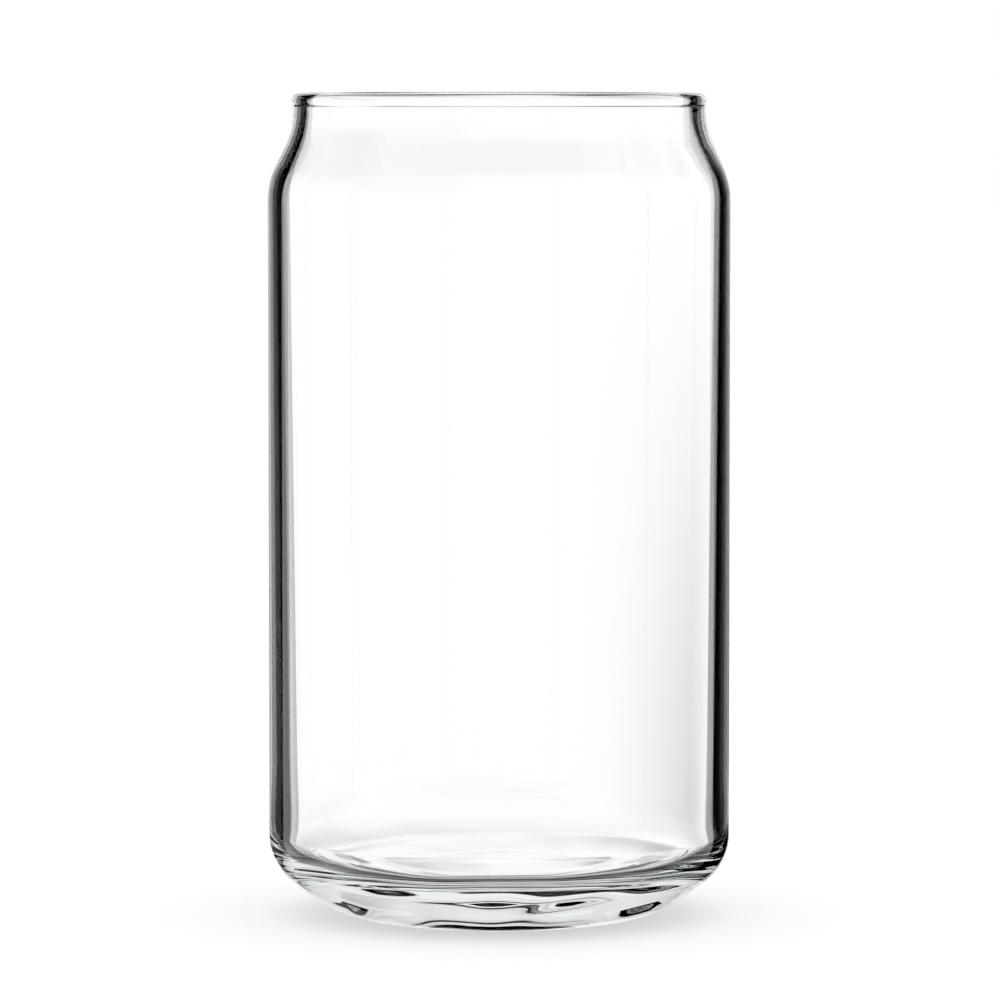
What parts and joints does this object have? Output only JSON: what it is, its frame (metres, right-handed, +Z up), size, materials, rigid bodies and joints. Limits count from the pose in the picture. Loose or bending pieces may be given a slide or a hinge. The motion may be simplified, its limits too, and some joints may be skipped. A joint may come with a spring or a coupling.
{
  "type": "can-shaped drinking glass",
  "caption": "Clear drinking glass in the shape of a drinks can, with a straight body, a drawn-in neck, a rounded rim and a thick base that tapers at the heel.",
  "frame": {"origin": "middle of the base, on the plane that the glass stands on", "axes": "+Z up along the axis of the glass; the glass is round, so X and Y are free"},
  "size_m": [0.0754, 0.0754, 0.1342],
  "materials": {
    "glass": "clear, fire-polished"
  },
  "bodies": {
    "root": {"glass": "glass"}
  },
  "joints": []
}
